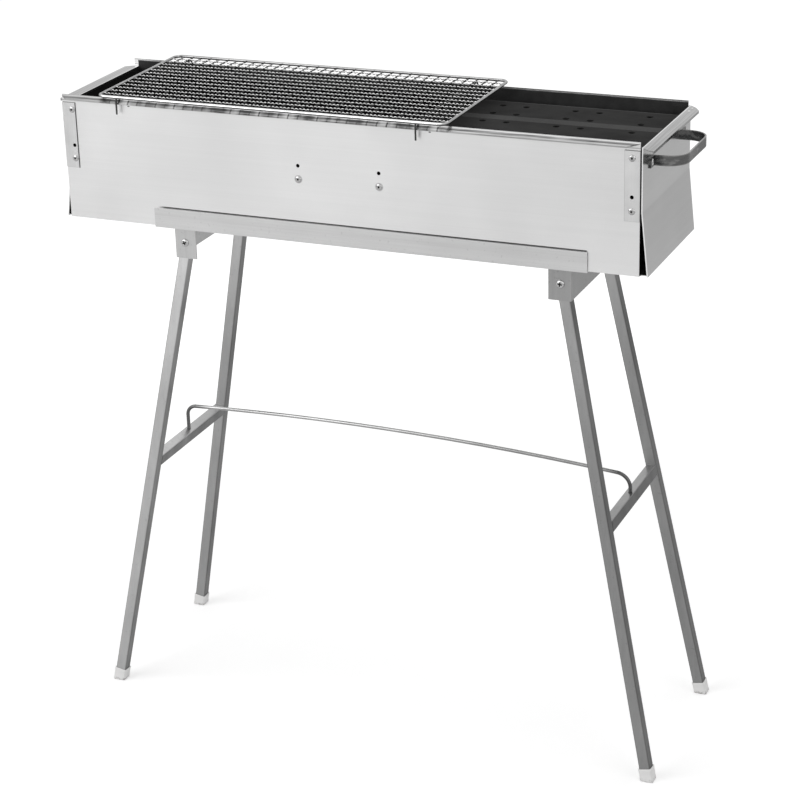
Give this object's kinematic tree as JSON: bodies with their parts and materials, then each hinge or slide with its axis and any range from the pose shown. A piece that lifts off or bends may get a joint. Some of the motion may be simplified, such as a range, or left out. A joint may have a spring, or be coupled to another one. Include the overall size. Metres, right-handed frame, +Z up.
{
  "type": "folding camp grill",
  "caption": "Sheet-metal charcoal trough with carry handle, perforated coal tray and hooked wire grate, on a stand with fold-in leg frames and a bent brace rod.",
  "frame": {"origin": "on the floor, under the middle of the overall length and width, with the legs open", "axes": "+Z up, +X along the trough towards the end with the carry handle, +Y towards the back"},
  "size_m": [0.852, 0.2702, 0.8666],
  "materials": {
    "trough_steel": "satin",
    "stand_steel": "satin",
    "fixings": "polished",
    "rod_zinc": "satin",
    "cap_plastic": "matte",
    "coal_steel": "matte",
    "handle_steel": "satin",
    "grate_wire": "polished"
  },
  "bodies": {
    "stand": {"cradle": "stand_steel", "left_carrier": "stand_steel", "right_carrier": "stand_steel", "carrier_rivets": "fixings", "pivot_screws": "fixings", "pivot_nuts": "fixings", "pivot_washers": "fixings"},
    "left_leg": {"left_front_leg": "stand_steel", "left_back_leg": "stand_steel", "left_crossbar": "stand_steel", "left_foot_caps": "cap_plastic"},
    "right_leg": {"right_front_leg": "stand_steel", "right_back_leg": "stand_steel", "right_crossbar": "stand_steel", "right_foot_caps": "cap_plastic"},
    "brace": {"brace_rod": "rod_zinc"},
    "trough": {"front_panel": "trough_steel", "back_panel": "trough_steel", "left_end_panel": "trough_steel", "right_end_panel": "trough_steel", "base_plate": "trough_steel", "front_brackets": "trough_steel", "back_brackets": "trough_steel", "bracket_rivets": "fixings", "ledge_rivets": "fixings", "front_ledge": "trough_steel", "back_ledge": "trough_steel", "carry_handle": "handle_steel", "handle_rivets": "fixings", "rim_rivets": "fixings"},
    "coal_tray": {"coal_tray": "coal_steel"},
    "grate": {"grate_rim": "grate_wire", "grate_mesh": "grate_wire", "grate_hooks": "grate_wire"}
  },
  "joints": [
    {"name": "left_leg_fold", "type": "hinge", "parent": "stand", "child": "left_leg", "pos_m": [-0.248, 0, 0.667], "axis": [0, -1, 0], "range_deg": [0, 92], "deforming": ["brace_rod"]},
    {"name": "right_leg_fold", "type": "hinge", "parent": "stand", "child": "right_leg", "pos_m": [0.28, 0, 0.667], "axis": [0, 1, 0], "range_deg": [0, 101], "deforming": ["brace_rod"]},
    {"name": "brace_lift", "type": "slide", "parent": "stand", "child": "brace", "axis": [0, 0, 1], "range_m": [0, 0.15]},
    {"name": "trough_lift", "type": "slide", "parent": "stand", "child": "trough", "axis": [0, 0, 1], "range_m": [0, 0.15]},
    {"name": "coal_tray_lift", "type": "slide", "parent": "trough", "child": "coal_tray", "axis": [0, 0, 1], "range_m": [0, 0.008]},
    {"name": "grate_lift", "type": "slide", "parent": "trough", "child": "grate", "axis": [0, 0, 1], "range_m": [0, 0.12]}
  ]
}
